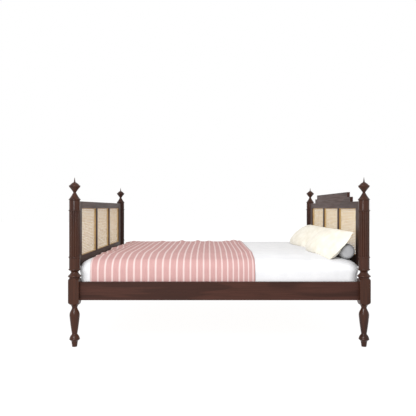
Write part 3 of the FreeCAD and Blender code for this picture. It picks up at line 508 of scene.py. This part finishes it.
def wovenStripes(finish, settings):
    # Yarn-dyed cotton: dusty pink with narrow cream lines along the warp, matt, with slubs along the yarns.
    # The UV map counts stripes across and metres along. The threads are drawn at 4 mm, because real ones
    # wouldn't show.
    constants = {"Roughness": finish["roughness"], "Specular IOR Level": 0.1}
    material, tree, surface = newMaterial("stripedWovenCotton", constants)
    cloth = addNode(tree, "ShaderNodeUVMap", {}, uv_map="cloth").outputs["UV"]
    axes = addNode(tree, "ShaderNodeSeparateXYZ", {"Vector": cloth})
    away = addNode(tree, "ShaderNodeMath", {0: axes.outputs["X"], 1: 0.5}, operation="PINGPONG").outputs[0]
    inner = settings["lineShare"] / 2 - settings["softShare"] / 2
    line = addNode(tree, "ShaderNodeMapRange", {
        "Value": away, "From Min": inner, "From Max": inner + settings["softShare"],
        "To Min": 1.0, "To Max": 0.0,
    }, interpolation_type="SMOOTHSTEP").outputs["Result"]
    pitch = settings["stripePlacesMm"][1] * mm
    long, wide = (size * mm for size in finish["slubMm"])
    stretched = addNode(tree, "ShaderNodeMapping", {
        "Vector": cloth, "Scale": [pitch / wide, 1 / long, 1.0]}).outputs["Vector"]
    slubs = addNode(tree, "ShaderNodeTexNoise", {
        "Vector": stretched, "Scale": 1.0, "Detail": 3.0}).outputs["Fac"]
    tone = addNode(tree, "ShaderNodeMapRange", {
        "Value": slubs, "From Min": 0.3, "From Max": 0.7}).outputs["Result"]
    ground = addNode(tree, "ShaderNodeMix", {
        0: tone, 6: linear(finish["groundDeep"]), 7: linear(finish["ground"])}, data_type="RGBA").outputs[2]
    colour = addNode(tree, "ShaderNodeMix", {
        0: line, 6: ground, 7: linear(finish["line"])}, data_type="RGBA").outputs[2]
    threads = finish["threadMm"] * mm
    warp = addNode(tree, "ShaderNodeMath", {
        0: axes.outputs["X"], 1: 2 * math.pi * pitch / threads}, operation="MULTIPLY").outputs[0]
    weft = addNode(tree, "ShaderNodeMath", {
        0: axes.outputs["Y"], 1: 2 * math.pi / threads}, operation="MULTIPLY").outputs[0]
    warpWave = addNode(tree, "ShaderNodeMath", {0: warp}, operation="SINE").outputs[0]
    weftWave = addNode(tree, "ShaderNodeMath", {0: weft}, operation="SINE").outputs[0]
    weaveHeight = addNode(tree, "ShaderNodeMath", {0: warpWave, 1: weftWave}, operation="MULTIPLY").outputs[0]
    height = addNode(tree, "ShaderNodeMath", {0: weaveHeight, 1: slubs}, operation="ADD").outputs[0]
    bump = addNode(tree, "ShaderNodeBump", {
        "Height": height, "Strength": 0.35, "Distance": finish["bumpMm"] * mm}).outputs["Normal"]
    tree.links.new(colour, surface.inputs["Base Color"])
    tree.links.new(bump, surface.inputs["Normal"])
    return material


def throwSheet(settings):
    # The sheet runs from hem to hem over the mattress: up the drop, round a quarter turn, over the top, and
    # down again, by the distance from the middle. Folds are bell-shaped ridges about lines on the flat
    # sheet; they lift it off the mattress. Slow sways shift it sideways, so that the stripes wander on the
    # top and hang straight below, where the drop billows out by a sine wave.
    low, high = (np.array(corner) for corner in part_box("throw"))
    offset = (settings["clearMm"] + settings["thickMm"] / 2) * mm
    radius = edgeRadius + offset
    centre = mattressHigh[1] - edgeRadius
    level = centre + edgeRadius * math.sin(tilt)
    turn = radius * (math.pi / 2 - tilt)
    reach = level + turn + shoulder - low[2]
    across = np.linspace(-reach, reach, settings["rows"])[None, :]
    start, pitch, widen, narrow = settings["stripePlacesMm"]
    edges = np.array([low[0], high[0]]) / mm
    counts = np.linspace(-1, settings["stripes"] + 1, settings["stripeSamples"])
    places = start + pitch * counts + widen * counts ** 2 + narrow * counts ** 3
    stripe = np.linspace(*np.interp(edges, places, counts), settings["columns"])[:, None]
    along = np.interp(stripe, counts, places) * mm
    away = np.abs(across)
    angle = tilt + np.clip((away - level) / radius, 0, math.pi / 2 - tilt)
    hang = np.clip(away - level - turn, 0, None)
    onTop = np.cos(angle)
    hemStill, hemEase = (size * mm for size in settings["swayFromHemMm"])
    free = np.clip((reach - away - hemStill) / hemEase, 0, 1)
    lift = np.zeros((settings["columns"], settings["rows"]))
    for begin, end, height, width in settings["folds"]:
        begin, end = np.array(begin) * mm, np.array(end) * mm
        run = end - begin
        share = np.clip(((along - begin[0]) * run[0] + (across - begin[1]) * run[1]) / (run @ run), 0, 1)
        gap = np.hypot(along - begin[0] - share * run[0], across - begin[1] - share * run[1])
        ridge = height * mm * np.exp(-(gap / (width * mm)) ** 2)
        lift = np.maximum(lift, ridge) + settings["crossingShare"] * np.minimum(lift, ridge)
    crumple = unevenness(along, across, settings["crumpleLengthMm"] * mm, settings["crumpleSeed"])
    lift = lift * onTop + settings["crumpleMm"] * mm * ((1 + crumple) / 2).clip(0) * onTop
    wave = np.sin(2 * math.pi * along / (settings["billowLengthMm"] * mm))
    down = np.clip(hang / (reach - level - turn), 0, 1)
    billow = settings["billowMm"] * mm * (1 + wave) / 2 * np.sin(down * math.pi)
    drift = unevenness(along, across, settings["swayLengthMm"] * mm, settings["swaySeed"])
    sway = settings["swayMm"] * mm * drift * onTop * free
    inside = np.minimum(along - low[0], high[0] - along) / (settings["swayEndMm"] * mm)
    x = along + sway * np.clip(inside, settings["swayEndShare"], 1)
    side = np.sign(across)
    push = lift + billow
    y = side * (np.minimum(away - level, 0) + centre + (radius + push) * np.sin(angle))
    top = mattressTop(x, np.minimum(away, level))
    below = np.where(away <= level, top - edgeRadius * math.cos(tilt), shoulder)
    z = below + (radius + push) * np.cos(angle) - hang
    points = np.stack(np.broadcast_arrays(x, y, z), -1)
    cloth = np.stack(np.broadcast_arrays(stripe, across + reach), -1)
    return points, cloth, 2 * reach


pinkStripes = wovenStripes(stripedCotton, throwForm)
throwPoints, throwCloth, throwSpan = throwSheet(throwForm)
rows, columns = throwPoints.shape[:2]
throwFaces = gridFaces(rows, columns)
throw = newPiece("stripedThrow", throwPoints.reshape(-1, 3), throwFaces, pinkStripes)
throw.data.uv_layers.new(name="cloth").data.foreach_set(
    "uv", throwCloth.reshape(-1, 2)[throwFaces.ravel()].astype(np.float32).ravel())
wall = throw.modifiers.new("clothThickness", "SOLIDIFY")
wall.thickness = throwForm["thickMm"] * mm
wall.offset = 0
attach(throw, "throw")
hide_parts("throw")
print("throw draped:", len(throwFaces), "faces")

# Bolster and pillows

bolsterForm = {
    "drawMm": -3, "voxelMm": 7, "pressure": 4.0, "stiffness": 15, "bending": 0.5, "steps": 16, "capMm": 5,
    "clearMm": 0.3,
}
pillowForm = {
    "drawMm": -10, "voxelMm": 6, "pressure": 2.0, "stiffness": 5, "bending": 0.05, "steps": 24, "capMm": 30,
    "clearMm": 0.6, "partingMm": 6, "leanDegrees": 52, "endShare": 0.08, "endPower": 2.0, "endMm": 120,
    "turnShare": 0.15, "footShare": 0.25, "sagMm": 45, "sagFullMm": 100, "backMm": 14, "crownMm": 36,
    "cornerMm": 43, "settleShare": 0.9, "heelMm": 62, "heelBackMm": 27, "drawInMm": 12,
    "creaseMm": 1.2, "creaseLengthMm": 75, "creaseStretch": 4, "creaseSeed": 11,
}
bolsterLow, bolsterHigh = (np.array(corner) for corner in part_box("bolster"))
bolsterMiddle = (bolsterLow + bolsterHigh) / 2
bolsterRadius = (bolsterHigh[0] - bolsterLow[0]) / 2


def sewnPillow(points, low, high, settings):
    # A sewn pillow from its stuffed block, turned a little so that the near one overlaps the far one. It
    # thins to the seam at each end as an ellipse does, measured level from the line that it leans on, and
    # that line bulges by a parabola. The seams at both ends are drawn in between their corners. The top
    # edge is crowned by a parabola. The foot settles on the mattress's slope, with its corners lifted and
    # set back, and soft creases run up the front. The filling sags, so the front reaches further out
    # towards the foot and drops in proportion to its reach.
    x, y, z = points.T
    share = (2 * y - y.min() - y.max()) / (y.max() - y.min())
    height = np.clip((z - low[2]) / (high[2] - low[2]), 0, 1)
    bulge = 1 - (2 * height - 1) ** 2
    upright = math.tan(math.radians(settings["leanDegrees"]))
    leaning = high[0] - (high[2] - z) / upright + settings["backMm"] * mm * bulge
    inner = np.clip((1 - np.abs(share)) * (y.max() - y.min()) / 2 / (settings["endMm"] * mm), 0, 1)
    ellipse = np.sqrt(1 - np.abs(share) ** settings["endPower"])
    fullness = settings["endShare"] + (1 - settings["endShare"]) * ellipse
    fullness = fullness * (1 + settings["turnShare"] * share)
    crease = settings["creaseMm"] * mm * unevenness(
        y, z / settings["creaseStretch"], settings["creaseLengthMm"] * mm, settings["creaseSeed"])
    drawn = settings["drawInMm"] * mm * (1 - inner) ** 2 * bulge
    crown = (settings["crownMm"] - settings["cornerMm"] * share ** 2) * mm * height
    reach = mattressHigh - bendInset
    drop = mattressHigh[2] - mattressTop(np.clip(x, -reach[0], reach[0]), np.clip(y, -reach[1], reach[1]))
    settle = drop * (1 - settings["settleShare"] * height)
    corner = (1 - inner) ** 2 * (1 - height)
    heel = settings["heelMm"] * mm * corner
    forward = (leaning - x + crease) * fullness * (1 + settings["footShare"] * (1 - height))
    sag = settings["sagMm"] * mm * np.clip(forward / (settings["sagFullMm"] * mm), 0, 1)
    leaning = leaning + settings["heelBackMm"] * mm * corner
    return np.stack([leaning - forward, y - np.sign(share) * drawn, z + crown + heel - settle - sag], 1)


bolster = stuffed("bolster", "greyBolster", bolsterForm, plainCotton("greyPlainCotton", greyCotton))
points = readPoints(bolster.data)
underside = mattressTop(points[:, 0], points[:, 1]) + bolsterForm["clearMm"] * mm
points[:, 2] = np.maximum(points[:, 2], underside)
writePoints(bolster.data, np.clip(points, bolsterLow, bolsterHigh))
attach(bolster, "bolster")
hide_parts("bolster")

pillowCotton = plainCotton("creamSateenCotton", creamCotton)
between = (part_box("pillow_right")[1][1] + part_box("pillow_left")[0][1]) / 2
for side, beyond in (("right", -1), ("left", 1)):
    node = f"pillow_{side}"
    pillow = stuffed(node, f"pillow{side.capitalize()}", pillowForm, pillowCotton)
    points = readPoints(pillow.data)
    parting = between + beyond * pillowForm["partingMm"] / 2 * mm
    points[:, 1] = parting + beyond * np.maximum(beyond * (points[:, 1] - parting), 0)
    points = sewnPillow(points, *(np.array(corner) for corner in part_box(node)), pillowForm)
    underside = mattressTop(points[:, 0], points[:, 1]) + pillowForm["clearMm"] * mm
    points[:, 2] = np.maximum(points[:, 2], underside)
    fromBolster = points[:, [0, 2]] - bolsterMiddle[[0, 2]]
    distance = np.linalg.norm(fromBolster, axis=1, keepdims=True)
    nearest = bolsterRadius + pillowForm["clearMm"] * mm
    points[:, [0, 2]] += fromBolster * (np.maximum(nearest - distance, 0) / distance)
    writePoints(pillow.data, points)
    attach(pillow, node)
    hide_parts(node)
print("bolster and pillows stuffed")

# Finishes of the CAD nodes: the grain runs along each board

steel = zincPlatedSteel(zinc)
lengthways = ("side_rail", "slat_ledge", "centre_beam")
crossways = ("end_rail", "bottom_rail", "top_rail", "crown_rail", "slat_")
metalNodes = ("bed_bolts", "barrel_nuts", "slat_screws", "ledge_screws")
for name, node in nodes.items():
    axis = 2
    if name.startswith(lengthways):
        axis = 0
    elif any(word in name for word in crossways):
        axis = 1
    finish = darkWood[axis]
    if name in metalNodes:
        finish = steel
    elif "_post_" in name or "_finial_" in name:
        finish = turnedWood
    elif name.endswith("cane_beads"):
        finish = caneSpline
    elif name.startswith(("slat_", "centre_beam")):
        finish = slatWood[axis]
    node.data.materials.clear()
    node.data.materials.append(finish)
print("finishes set")

# Floor, light and camera

studio = {
    "floor": "#505050", "floorGlow": 0.94, "floorSize": 60.0, "worldStrength": 1.0, "aim": (0.0, 0.0, 0.55),
    "lights": {
        "softKey": {"place": (-1.5, -4.8, 3.8), "size": (2.4, 1.6), "power": 190.0},
        "lowGlint": {"place": (-1.0, -3.7, 1.1), "size": (0.6, 0.45), "power": 18.0},
    },
}
view = {"place": (-0.0807, -4.534, 0.9888), "lens": 43.456, "sensor": 36.0}

floorMaterial = newMaterial("palePaintedFloor", {
    "Base Color": linear(studio["floor"]), "Roughness": 0.9, "Specular IOR Level": 0.1,
    "Emission Color": (1.0, 1.0, 1.0, 1.0), "Emission Strength": studio["floorGlow"],
})[0]
half = studio["floorSize"] / 2
floorCorners = np.array([[-half, -half, 0], [half, -half, 0], [half, half, 0], [-half, half, 0]])
floor = newPiece("studioFloor", floorCorners, np.array([[0, 1, 2, 3]]), floorMaterial)

world = bpy.data.worlds.new("softStudio")
world.use_nodes = True
world.node_tree.nodes["Background"].inputs["Color"].default_value = (1.0, 1.0, 1.0, 1.0)
world.node_tree.nodes["Background"].inputs["Strength"].default_value = studio["worldStrength"]
bpy.context.scene.world = world

for name, settings in studio["lights"].items():
    lamp = bpy.data.lights.new(name, "AREA")
    lamp.shape = "RECTANGLE"
    lamp.size, lamp.size_y = settings["size"]
    lamp.energy = settings["power"]
    light = bpy.data.objects.new(name, lamp)
    light.location = settings["place"]
    light.rotation_euler = (Vector(studio["aim"]) - light.location).to_track_quat("-Z", "Y").to_euler()
    bpy.context.scene.collection.objects.link(light)

cameraData = bpy.data.cameras.new("photoCamera")
cameraData.lens = view["lens"]
cameraData.sensor_width = view["sensor"]
camera = bpy.data.objects.new("photoCamera", cameraData)
camera.location = view["place"]
camera.rotation_euler = (math.pi / 2, 0, 0)
bpy.context.scene.collection.objects.link(camera)
bpy.context.scene.camera = camera
bpy.context.scene.view_settings.view_transform = "Standard"
print("studio set")
